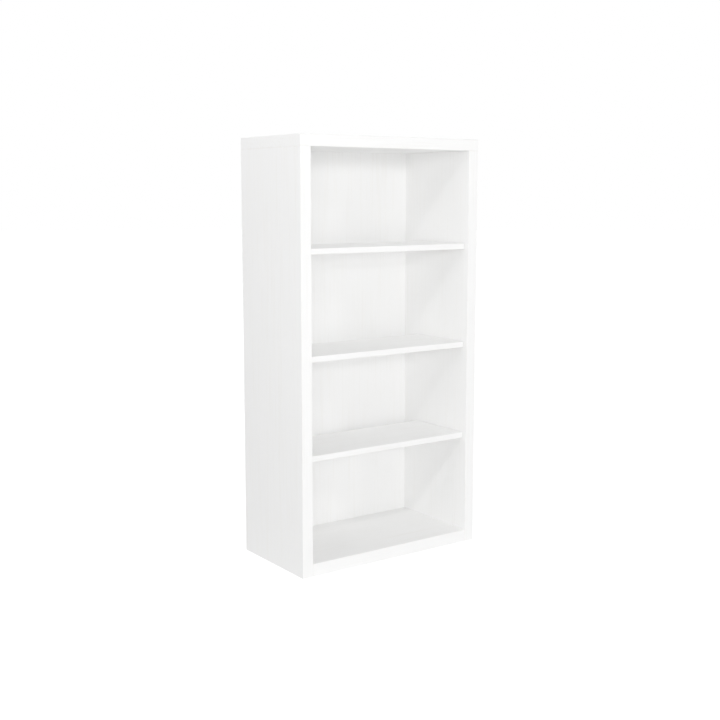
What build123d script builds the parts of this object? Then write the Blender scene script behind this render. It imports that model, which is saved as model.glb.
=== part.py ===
from build123d import *

import os

# A one-twelfth scale bookcase: an open case of five boards, with three loose shelves on pins.
# Millimetres. +Z is up, the open front faces -Y, and the origin is the middle of the footprint.

# Carcase
HEIGHT = 101.6
WIDTH = 51.8
DEPTH = 26.5
SIDE_THICKNESS = 2.8
TOP_THICKNESS = 2.7
BOTTOM_THICKNESS = 3.1
EDGE_EASE = 0.1

# Back panel, let into a rebate so that it lies a little below the rear edges
BACK_THICKNESS = 0.8
REBATE_DEPTH = 1.2
REBATE_WIDTH = 1.4
BACK_FLOOR_GAP = 0.4
BACK_EDGE_GAP = 0.1

# Loose shelves
SHELF_TOPS = {"upper": 76.2, "middle": 51.6, "lower": 28.4}
SHELF_THICKNESS = 1.4
SHELF_DEPTH = 18.5
SHELF_RECESS = 1.1
SHELF_END_GAP = 0.2
SHELF_EASE = 0.15

# Shelf pins, two in each side under each shelf
PIN_RADIUS = 0.22
PIN_EMBEDMENT = 1.5
PIN_REACH = 1.3
PIN_GAP = 0.05
PIN_SETBACK = 7.5
PIN_REAR_SETBACK = 3.5
PIN_CHAMFER = 0.08

# Corner dowels, two in each corner of the case
DOWEL_RADIUS = 0.5
DOWEL_SHORT_END = 1.5
DOWEL_LONG_END = 3.0
DOWEL_SETBACK = 5.0
DOWEL_REAR_SETBACK = 7.0
DOWEL_CHAMFER = 0.1

# Brads that hold the back panel
BRAD_RADIUS = 0.18
BRAD_LENGTH = 3.0
BRAD_HEAD_RADIUS = 0.42
BRAD_HEAD_THICKNESS = 0.16
SIDE_BRAD_COUNT = 5
SIDE_BRAD_END_MARGIN = 8.0
CROSS_BRAD_COUNT = 3

# Places worked out from the sizes above
FRONT_Y = -DEPTH / 2
REAR_Y = DEPTH / 2
INNER_X = WIDTH / 2 - SIDE_THICKNESS
SIDE_TOP_Z = HEIGHT - TOP_THICKNESS
BACK_INNER_Y = REAR_Y - REBATE_DEPTH
BACK_OUTER_Y = BACK_INNER_Y + BACK_THICKNESS
REBATE_X = INNER_X + REBATE_WIDTH
REBATE_TOP_Z = SIDE_TOP_Z + REBATE_WIDTH
BACK_HALF_WIDTH = REBATE_X - BACK_EDGE_GAP
BACK_TOP_Z = REBATE_TOP_Z - BACK_EDGE_GAP
SHELF_FRONT_Y = FRONT_Y + SHELF_RECESS
SHELF_REAR_Y = SHELF_FRONT_Y + SHELF_DEPTH
SHELF_HALF_LENGTH = INNER_X - SHELF_END_GAP

HANDS = {"left": -1, "right": 1}
PIN_ROWS = {
    "front": SHELF_FRONT_Y + PIN_SETBACK,
    "rear": SHELF_REAR_Y - PIN_REAR_SETBACK,
}
DOWEL_ROWS = {
    "front": FRONT_Y + DOWEL_SETBACK,
    "rear": REAR_Y - DOWEL_REAR_SETBACK,
}


def block(low, high):
    """A sharp-edged block between two opposite corners."""
    size = [b - a for a, b in zip(low, high)]
    middle = [(a + b) / 2 for a, b in zip(low, high)]
    return Pos(*middle) * Box(*size)


def board(low, high, ease=EDGE_EASE):
    """A board with every edge slightly eased."""
    blank = block(low, high)
    return fillet(blank.edges(), ease)


def rod(start, direction, length, radius, chamfer_size=0):
    """A round rod that runs from start along direction, its two ends chamfered if asked."""
    shank = extrude(Plane(origin=start, z_dir=direction) * Circle(radius), length)
    if chamfer_size:
        shank = chamfer(shank.edges().filter_by(GeomType.CIRCLE), chamfer_size)
    return shank


def spread(low, high, count):
    """Evenly spaced places from low to high, both included."""
    step = (high - low) / (count - 1)
    return [low + step * index for index in range(count)]


def make_shelf_pins():
    """One pin for each corner of each shelf, standing out of the inner face of a side."""
    pins = {}
    for level, shelf_top in SHELF_TOPS.items():
        pin_z = shelf_top - SHELF_THICKNESS - PIN_GAP - PIN_RADIUS
        for hand, sign in HANDS.items():
            for row, pin_y in PIN_ROWS.items():
                start = (sign * (INNER_X + PIN_EMBEDMENT), pin_y, pin_z)
                length = PIN_EMBEDMENT + PIN_REACH
                pin = rod(start, (-sign, 0, 0), length, PIN_RADIUS, PIN_CHAMFER)
                pins[f"{level}_shelf_pin_{row}_{hand}"] = pin
    return pins


def make_dowels():
    """Two dowels for each corner: upright through the top joint, level through the bottom joint."""
    dowels = {}
    length = DOWEL_SHORT_END + DOWEL_LONG_END
    for hand, sign in HANDS.items():
        side_middle_x = sign * (WIDTH - SIDE_THICKNESS) / 2
        for row, dowel_y in DOWEL_ROWS.items():
            top_start = (side_middle_x, dowel_y, SIDE_TOP_Z - DOWEL_LONG_END)
            top_dowel = rod(top_start, (0, 0, 1), length, DOWEL_RADIUS, DOWEL_CHAMFER)
            dowels[f"top_dowel_{row}_{hand}"] = top_dowel
            bottom_start = (sign * (INNER_X + DOWEL_SHORT_END), dowel_y, BOTTOM_THICKNESS / 2)
            bottom_dowel = rod(bottom_start, (-sign, 0, 0), length, DOWEL_RADIUS, DOWEL_CHAMFER)
            dowels[f"bottom_dowel_{row}_{hand}"] = bottom_dowel
    return dowels


def brad(x, z):
    """One brad driven forwards through the back panel, its flat head on the panel's rear face."""
    shank = rod((x, BACK_OUTER_Y, z), (0, -1, 0), BRAD_LENGTH, BRAD_RADIUS)
    head = rod((x, BACK_OUTER_Y, z), (0, 1, 0), BRAD_HEAD_THICKNESS, BRAD_HEAD_RADIUS)
    return shank + head


def make_brads():
    """The brads along each edge of the back panel, grouped by the board that they enter."""
    side_x = INNER_X + REBATE_WIDTH / 2
    side_heights = spread(SIDE_BRAD_END_MARGIN, SIDE_TOP_Z - SIDE_BRAD_END_MARGIN, SIDE_BRAD_COUNT)
    cross_places = spread(-INNER_X / 2, INNER_X / 2, CROSS_BRAD_COUNT)
    top_z = SIDE_TOP_Z + REBATE_WIDTH / 2
    groups = {}
    for hand, sign in HANDS.items():
        groups[f"{hand}_back_brads"] = [brad(sign * side_x, z) for z in side_heights]
    groups["top_back_brads"] = [brad(x, top_z) for x in cross_places]
    groups["bottom_back_brads"] = [brad(x, BOTTOM_THICKNESS / 2) for x in cross_places]
    return groups


def named(pieces, *words):
    """The pieces whose names hold every one of the words."""
    return [piece for name, piece in pieces.items() if all(word in name for word in words)]


def bored(panel, pieces):
    """A panel with a hole cut for every piece that enters it."""
    for piece in pieces:
        panel = panel - piece
    return panel


def make_top(dowels, brads):
    """The top, which lies over both sides and has a stopped rebate under its rear edge."""
    panel = board((-WIDTH / 2, FRONT_Y, SIDE_TOP_Z), (WIDTH / 2, REAR_Y, HEIGHT))
    rebate = block((-REBATE_X, BACK_INNER_Y, SIDE_TOP_Z - 1), (REBATE_X, REAR_Y + 1, REBATE_TOP_Z))
    return bored(panel - rebate, named(dowels, "top_dowel") + brads["top_back_brads"])


def make_bottom(dowels, brads):
    """The bottom, between the sides and in front of the back panel."""
    panel = board((-INNER_X, FRONT_Y, 0), (INNER_X, BACK_INNER_Y, BOTTOM_THICKNESS))
    return bored(panel, named(dowels, "bottom_dowel") + brads["bottom_back_brads"])


def make_side(hand, pins, dowels, brads):
    """One side, with a full-height rebate along its rear inner edge."""
    sign = HANDS[hand]
    low_x, high_x = sorted((sign * INNER_X, sign * WIDTH / 2))
    panel = board((low_x, FRONT_Y, 0), (high_x, REAR_Y, SIDE_TOP_Z))
    cut_low_x, cut_high_x = sorted((sign * (INNER_X - 1), sign * REBATE_X))
    rebate = block((cut_low_x, BACK_INNER_Y, -1), (cut_high_x, REAR_Y + 1, SIDE_TOP_Z + 1))
    entering = named(pins, hand) + named(dowels, hand) + brads[f"{hand}_back_brads"]
    return bored(panel - rebate, entering)


def make_back(brads):
    """The thin back panel, bored for its brads."""
    low = (-BACK_HALF_WIDTH, BACK_INNER_Y, BACK_FLOOR_GAP)
    high = (BACK_HALF_WIDTH, BACK_OUTER_Y, BACK_TOP_Z)
    return bored(block(low, high), [one for group in brads.values() for one in group])


def make_shelf(shelf_top):
    """One loose shelf, shallower than the case and set back from its front edges."""
    low = (-SHELF_HALF_LENGTH, SHELF_FRONT_Y, shelf_top - SHELF_THICKNESS)
    high = (SHELF_HALF_LENGTH, SHELF_REAR_Y, shelf_top)
    return board(low, high, SHELF_EASE)


def make_bookcase():
    """Every node of the bookcase by name."""
    pins = make_shelf_pins()
    dowels = make_dowels()
    brads = make_brads()
    nodes = {
        "top_panel": make_top(dowels, brads),
        "bottom_panel": make_bottom(dowels, brads),
        "left_side_panel": make_side("left", pins, dowels, brads),
        "right_side_panel": make_side("right", pins, dowels, brads),
        "back_panel": make_back(brads),
    }
    for level, shelf_top in SHELF_TOPS.items():
        nodes[f"{level}_shelf"] = make_shelf(shelf_top)
    nodes.update(pins)
    nodes.update(dowels)
    for name, group in brads.items():
        nodes[name] = Compound(children=group)
    return nodes


os.makedirs("parts", exist_ok=True)
for node_name, shape in make_bookcase().items():
    export_step(shape, f"parts/{node_name}.step")
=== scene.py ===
import math

import bpy
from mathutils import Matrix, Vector


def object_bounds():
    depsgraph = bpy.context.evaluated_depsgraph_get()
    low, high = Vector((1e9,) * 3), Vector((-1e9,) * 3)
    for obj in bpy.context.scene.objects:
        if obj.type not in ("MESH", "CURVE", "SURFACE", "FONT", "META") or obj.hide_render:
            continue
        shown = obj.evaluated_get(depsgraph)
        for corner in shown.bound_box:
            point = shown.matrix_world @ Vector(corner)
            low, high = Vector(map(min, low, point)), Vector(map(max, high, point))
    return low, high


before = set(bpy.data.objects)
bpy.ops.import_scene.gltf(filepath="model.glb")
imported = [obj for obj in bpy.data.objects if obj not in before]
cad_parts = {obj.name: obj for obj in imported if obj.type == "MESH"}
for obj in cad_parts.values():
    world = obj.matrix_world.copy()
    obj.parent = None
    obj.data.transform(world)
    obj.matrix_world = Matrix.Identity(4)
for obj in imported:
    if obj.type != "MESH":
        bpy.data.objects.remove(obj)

# The looks of a one-twelfth scale bookcase in white paint. Every visible shape is the CAD's own, so
# this script adds finishes, a studio and a camera, and no piece.

MM = 0.001
WHITE = (1, 1, 1, 1)

cad_low, cad_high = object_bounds()
centre = (cad_low + cad_high) / 2
height = cad_high.z - cad_low.z


# ---------------------------------------------------------------- node graphs

class Graph:
    """A new material's node tree, with short calls for the nodes that the finishes share."""

    def __init__(self, name, base_color, roughness, metallic=0.0):
        self.material = bpy.data.materials.new(name)
        self.material.use_nodes = True
        self.tree = self.material.node_tree
        self.shader = self.tree.nodes["Principled BSDF"]
        self.shader.inputs["Base Color"].default_value = (*base_color, 1)
        self.shader.inputs["Roughness"].default_value = roughness
        self.shader.inputs["Metallic"].default_value = metallic
        self.place = self.tree.nodes.new("ShaderNodeTexCoord").outputs["Object"]

    def link(self, source, target):
        self.tree.links.new(source, target)

    def noise(self, per_mm, detail=3.0, roughness=0.5):
        """Noise with this many features to the millimetre along X, Y and Z."""
        mapping = self.tree.nodes.new("ShaderNodeMapping")
        mapping.inputs["Scale"].default_value = [number / MM for number in per_mm]
        texture = self.tree.nodes.new("ShaderNodeTexNoise")
        texture.inputs["Scale"].default_value = 1.0
        texture.inputs["Detail"].default_value = detail
        texture.inputs["Roughness"].default_value = roughness
        self.link(self.place, mapping.inputs["Vector"])
        self.link(mapping.outputs["Vector"], texture.inputs["Vector"])
        return texture.outputs["Fac"]

    def ramp(self, factor, low, high, from_low=0.3, from_high=0.7):
        """The factor's stretch between from_low and from_high, spread over low to high."""
        spread = self.tree.nodes.new("ShaderNodeMapRange")
        spread.inputs["From Min"].default_value = from_low
        spread.inputs["From Max"].default_value = from_high
        spread.inputs["To Min"].default_value = low
        spread.inputs["To Max"].default_value = high
        self.link(factor, spread.inputs["Value"])
        return spread.outputs["Result"]

    def blend(self, factor, first, second):
        """A colour between two others, each a plain colour or a socket."""
        mix = self.tree.nodes.new("ShaderNodeMix")
        mix.data_type = "RGBA"
        self.link(factor, mix.inputs["Factor"])
        for socket, color in (("A", first), ("B", second)):
            inlet = next(s for s in mix.inputs if s.name == socket and s.type == "RGBA")
            if isinstance(color, bpy.types.NodeSocket):
                self.link(color, inlet)
            else:
                inlet.default_value = (*color, 1)
        return next(s for s in mix.outputs if s.type == "RGBA")

    def edges(self, reach_mm, full_cosine=0.8, flat_cosine=0.99):
        """A mask that is 1 on the arrises, within this reach, and 0 on the flats.

        It compares the surface's normal with the same normal rounded over the edges: their product
        is near 1 on a flat and falls towards an arris.
        """
        rounded = self.tree.nodes.new("ShaderNodeBevel")
        rounded.samples = 4
        rounded.inputs["Radius"].default_value = reach_mm * MM
        flat = self.tree.nodes.new("ShaderNodeNewGeometry")
        agree = self.tree.nodes.new("ShaderNodeVectorMath")
        agree.operation = "DOT_PRODUCT"
        self.link(rounded.outputs["Normal"], agree.inputs[0])
        self.link(flat.outputs["Normal"], agree.inputs[1])
        return self.ramp(agree.outputs["Value"], 1.0, 0.0, full_cosine, flat_cosine)

    def product(self, first, second):
        """Two values multiplied."""
        multiply = self.tree.nodes.new("ShaderNodeMath")
        multiply.operation = "MULTIPLY"
        self.link(first, multiply.inputs[0])
        self.link(second, multiply.inputs[1])
        return multiply.outputs["Value"]

    def bump(self, relief, depth_mm, under=None):
        """A bump of this depth, over another bump if one is given."""
        bump = self.tree.nodes.new("ShaderNodeBump")
        bump.inputs["Strength"].default_value = 1.0
        bump.inputs["Distance"].default_value = depth_mm * MM
        self.link(relief, bump.inputs["Height"])
        if under is not None:
            self.link(under, bump.inputs["Normal"])
        return bump.outputs["Normal"]

    def finish(self, color, roughness, normal):
        """Joins the three sockets that every finish ends in, and gives the material."""
        self.link(color, self.shader.inputs["Base Color"])
        self.link(roughness, self.shader.inputs["Roughness"])
        self.link(normal, self.shader.inputs["Normal"])
        return self.material


# ---------------------------------------------------------------- finishes

GRAIN_AXES = {"X": 0, "Y": 1, "Z": 2}

# Paint: the two whites, and what each mark multiplies them by
BOARD_WHITE = (0.96, 0.96, 0.955)
SHEET_WHITE = (0.953, 0.953, 0.948)
LIGHT_MOTTLE = (1.012, 1.012, 1.012)
DARK_MOTTLE = (0.982, 0.982, 0.982)
OPEN_PORE = (0.935, 0.927, 0.908)
RUBBED_EDGE = (0.76, 0.69, 0.58)

# Paint: how often each mark comes, to the millimetre
MOTTLE_PER_MM = 0.06
PATCHES_PER_MM = 0.22
PEEL_PER_MM = 1.1
FIGURE_PER_MM = {"across": 0.32, "lengthwise": 0.014}
PORES_PER_MM = {"across": 1.6, "lengthwise": 0.05}

# Paint: its gloss, its relief and how far it is rubbed in from an arris
PAINT_SPECULAR = 0.25
PAINT_ROUGHNESS = 0.54
SMOOTH_PEEL, ROUGH_PEEL = 0.49, 0.59
PEEL_DEPTH_MM = 0.008
BOARD_GRAIN_DEPTH_MM = 0.015
SHEET_GRAIN_DEPTH_MM = 0.022
RUBBED_REACH_MM = 0.2
RUBBED_MOST = 0.85

# Brass pins
BRASS = (0.78, 0.57, 0.26)
DULL_BRASS = (0.62, 0.43, 0.19)
BRIGHT_BRASS = (0.82, 0.62, 0.3)
TARNISH_PER_MM = 0.9
BRASS_SCRATCHES_PER_MM = {"across": 9.0, "lengthwise": 0.4}

# Steel brads
STEEL = (0.6, 0.6, 0.6)
DULL_STEEL = (0.5, 0.5, 0.5)
BRIGHT_STEEL = (0.68, 0.68, 0.67)
STEEL_SCRATCHES_PER_MM = {"across": 7.0, "lengthwise": 0.8}
SCRATCH_DEPTH_MM = 0.004

# Birch dowels
BIRCH = (0.72, 0.55, 0.36)
DARK_BIRCH = (0.58, 0.41, 0.24)
PALE_BIRCH = (0.78, 0.62, 0.42)
BIRCH_GRAIN_PER_MM = {"across": 4.0, "lengthwise": 0.2}
BIRCH_GRAIN_DEPTH_MM = 0.02


def evenly(per_mm):
    """Features to the millimetre for marks that are the same in every direction."""
    return [per_mm] * 3


def along(axis, across, lengthwise):
    """Features to the millimetre for marks that run along one axis."""
    rates = [across] * 3
    rates[GRAIN_AXES[axis]] = lengthwise
    return rates


def tinted(color, tint):
    """A colour with each part multiplied by the tint's."""
    return [part * share for part, share in zip(color, tint)]


def painted_wood(name, color, grain_axis, grain_depth_mm):
    """Satin white paint over fine-grained wood.

    The pores and the broader figure of the wood show faintly through, the film has a fine orange
    peel and a slightly uneven tone, and it is rubbed thin in patches along the arrises.
    """
    shade = Graph(name, color, PAINT_ROUGHNESS)
    shade.shader.inputs["Specular IOR Level"].default_value = PAINT_SPECULAR
    mottle = shade.noise(evenly(MOTTLE_PER_MM), detail=4.0)
    figure = shade.noise(along(grain_axis, **FIGURE_PER_MM))
    pores = shade.noise(along(grain_axis, **PORES_PER_MM), detail=5.0, roughness=0.6)
    peel = shade.noise(evenly(PEEL_PER_MM), detail=2.0)
    patches = shade.noise(evenly(PATCHES_PER_MM), detail=4.0, roughness=0.65)
    worn = shade.ramp(patches, 0.0, RUBBED_MOST, from_low=0.44, from_high=0.66)
    rubbed = shade.product(shade.edges(RUBBED_REACH_MM), worn)
    # The pores open most where the figure is strong
    porous = shade.ramp(pores, 0.0, 1.0, from_low=0.5, from_high=0.75)
    opened = shade.product(porous, shade.ramp(figure, 0.35, 1.0))
    light, dark = tinted(color, LIGHT_MOTTLE), tinted(color, DARK_MOTTLE)
    tone = shade.blend(shade.ramp(mottle, 0.0, 1.0), dark, light)
    tone = shade.blend(opened, tone, tinted(color, OPEN_PORE))
    tone = shade.blend(rubbed, tone, tinted(color, RUBBED_EDGE))
    relief = shade.bump(pores, grain_depth_mm)
    relief = shade.bump(peel, PEEL_DEPTH_MM, under=relief)
    return shade.finish(tone, shade.ramp(peel, SMOOTH_PEEL, ROUGH_PEEL), relief)


def brass():
    """Drawn brass wire, its fine scratches along the pin."""
    shade = Graph("brass_pin", BRASS, roughness=0.3, metallic=1.0)
    scratches = shade.noise(along("X", **BRASS_SCRATCHES_PER_MM))
    tarnish = shade.noise(evenly(TARNISH_PER_MM))
    tone = shade.blend(shade.ramp(tarnish, 0.0, 1.0), DULL_BRASS, BRIGHT_BRASS)
    relief = shade.bump(scratches, SCRATCH_DEPTH_MM)
    return shade.finish(tone, shade.ramp(scratches, 0.24, 0.42), relief)


def steel():
    """Bright steel brads, their heads faintly brushed."""
    shade = Graph("steel_brad", STEEL, roughness=0.33, metallic=1.0)
    scratches = shade.noise(along("X", **STEEL_SCRATCHES_PER_MM))
    tone = shade.blend(shade.ramp(scratches, 0.0, 1.0), DULL_STEEL, BRIGHT_STEEL)
    relief = shade.bump(scratches, SCRATCH_DEPTH_MM)
    return shade.finish(tone, shade.ramp(scratches, 0.28, 0.45), relief)


def birch(grain_axis):
    """Bare birch with darker growth lines along the dowel."""
    shade = Graph(f"birch_dowel_{grain_axis.lower()}", BIRCH, roughness=0.6)
    grain = shade.noise(along(grain_axis, **BIRCH_GRAIN_PER_MM), detail=5.0)
    tone = shade.blend(shade.ramp(grain, 0.0, 1.0), DARK_BIRCH, PALE_BIRCH)
    relief = shade.bump(grain, BIRCH_GRAIN_DEPTH_MM)
    return shade.finish(tone, shade.ramp(grain, 0.5, 0.7), relief)


def paint_nodes():
    """Gives every CAD node its finish: the first whose words are in the node's name."""
    upright = painted_wood("white_paint_upright", BOARD_WHITE, "Z", BOARD_GRAIN_DEPTH_MM)
    level = painted_wood("white_paint_level", BOARD_WHITE, "X", BOARD_GRAIN_DEPTH_MM)
    sheet = painted_wood("white_paint_sheet", SHEET_WHITE, "Z", SHEET_GRAIN_DEPTH_MM)
    finishes = {
        "_side_panel": upright,
        "back_panel": sheet,
        "top_panel": level,
        "bottom_panel": level,
        "_shelf_pin_": brass(),
        "_shelf": level,
        "top_dowel_": birch("Z"),
        "bottom_dowel_": birch("X"),
        "_back_brads": steel(),
    }
    for name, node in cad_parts.items():
        finish = next(finishes[words] for words in finishes if words in name)
        node.data.materials.clear()
        node.data.materials.append(finish)


# ---------------------------------------------------------------- studio

# Floor, with its lift to white as the camera sees it near the bookcase and far from it
FLOOR_RADIUS = 2.5
FLOOR_SIDES = 96
FLOOR_GREY = (0.8, 0.8, 0.8)
FLOOR_ROUGHNESS = 0.7
NEAR_LIFT, FAR_LIFT = 0.78, 1.0
NEAR_HEIGHTS, FAR_HEIGHTS = 1.5, 6.0

AMBIENT_STRENGTH = 0.095
BACKDROP_STRENGTH = 1.0
HIGHLIGHT_GAMMA = 1.5

# Camera, off the front left corner and looking slightly down. Its place is in heights.
CAMERA_PLACE = (-1.554, -2.181, 0.870)
CAMERA_PITCH = -7.44
CAMERA_YAW = -35.41
CAMERA_LENS_MM = 55.3
CAMERA_SENSOR_MM = 36.0
CAMERA_SHIFT_Y = -0.03
CAMERA_NEAR_CLIP = 0.01


def make_floor():
    """A wide pale floor. The camera sees it lifted to white, but the lift lights nothing."""
    bpy.ops.mesh.primitive_circle_add(
        vertices=FLOOR_SIDES, radius=FLOOR_RADIUS, fill_type="NGON")
    floor = bpy.context.object
    floor.name = "studio_floor"
    floor.location = (0, 0, cad_low.z)
    shade = Graph("studio_floor", FLOOR_GREY, FLOOR_ROUGHNESS)
    shade.shader.inputs["Emission Color"].default_value = WHITE
    away = shade.tree.nodes.new("ShaderNodeVectorMath")
    away.operation = "LENGTH"
    shade.link(shade.place, away.inputs[0])
    lift = shade.ramp(
        away.outputs["Value"], NEAR_LIFT, FAR_LIFT,
        from_low=NEAR_HEIGHTS * height, from_high=FAR_HEIGHTS * height)
    seen = shade.tree.nodes.new("ShaderNodeLightPath")
    glow = shade.product(lift, seen.outputs["Is Camera Ray"])
    shade.link(glow, shade.shader.inputs["Emission Strength"])
    floor.data.materials.append(shade.material)


def make_world():
    """Even white light from everywhere, in front of a white backdrop that only the camera sees."""
    world = bpy.data.worlds.new("studio")
    world.use_nodes = True
    tree = world.node_tree
    ambient = tree.nodes["Background"]
    backdrop = tree.nodes.new("ShaderNodeBackground")
    for glow, strength in ((ambient, AMBIENT_STRENGTH), (backdrop, BACKDROP_STRENGTH)):
        glow.inputs["Color"].default_value = WHITE
        glow.inputs["Strength"].default_value = strength
    choose = tree.nodes.new("ShaderNodeMixShader")
    seen = tree.nodes.new("ShaderNodeLightPath")
    tree.links.new(seen.outputs["Is Camera Ray"], choose.inputs["Fac"])
    tree.links.new(ambient.outputs["Background"], choose.inputs[1])
    tree.links.new(backdrop.outputs["Background"], choose.inputs[2])
    tree.links.new(choose.outputs["Shader"], tree.nodes["World Output"].inputs["Surface"])
    bpy.context.scene.world = world


def soft_light(name, azimuth, elevation, power, size=3.0, distance=6.0):
    """A square soft box that faces the middle of the bookcase.

    Azimuth 0 is in front of the bookcase and 90 on its right. Size and distance are in heights.
    """
    turn, lift = math.radians(azimuth), math.radians(elevation)
    out = Vector((
        math.sin(turn) * math.cos(lift), -math.cos(turn) * math.cos(lift), math.sin(lift)))
    data = bpy.data.lights.new(name, "AREA")
    data.shape = "SQUARE"
    data.size = size * height
    data.energy = power
    lamp = bpy.data.objects.new(name, data)
    lamp.location = centre + out * distance * height
    lamp.rotation_mode = "QUATERNION"
    lamp.rotation_quaternion = out.to_track_quat("Z", "Y")
    lamp.visible_camera = False
    bpy.context.scene.collection.objects.link(lamp)


def make_lights():
    """Broad boxes for the open tones, and small ones for the shadows that cross the inner walls."""
    soft_light("front_left", azimuth=-30, elevation=2, power=1.52)
    soft_light("front", azimuth=-18, elevation=12, power=0.5, size=0.6)
    soft_light("key", azimuth=-32, elevation=42, power=0.665, size=0.5)
    soft_light("left", azimuth=-95, elevation=10, power=0.44)
    soft_light("near_left", azimuth=-75, elevation=40, power=0.084, size=1.2, distance=2.2)
    soft_light("high_left", azimuth=-30, elevation=60, power=0.114)
    soft_light("right_low", azimuth=30, elevation=5, power=0.106, size=0.6)
    soft_light("right", azimuth=45, elevation=10, power=0.2, size=1.0)
    soft_light("right_high", azimuth=40, elevation=25, power=0.285, size=0.6)
    soft_light("right_fill", azimuth=92, elevation=14, power=0.8)
    soft_light("rear_fill", azimuth=182, elevation=16, power=0.9)


def make_camera():
    data = bpy.data.cameras.new("camera")
    data.sensor_width = CAMERA_SENSOR_MM
    data.lens = CAMERA_LENS_MM
    data.shift_y = CAMERA_SHIFT_Y
    data.clip_start = CAMERA_NEAR_CLIP
    camera = bpy.data.objects.new("camera", data)
    camera.location = [part * height for part in CAMERA_PLACE]
    camera.rotation_euler = (math.radians(90 + CAMERA_PITCH), 0, math.radians(CAMERA_YAW))
    bpy.context.scene.collection.objects.link(camera)
    bpy.context.scene.camera = camera


paint_nodes()
make_floor()
make_world()
make_lights()
make_camera()
bpy.context.scene.view_settings.view_transform = "Standard"
bpy.context.scene.view_settings.gamma = HIGHLIGHT_GAMMA
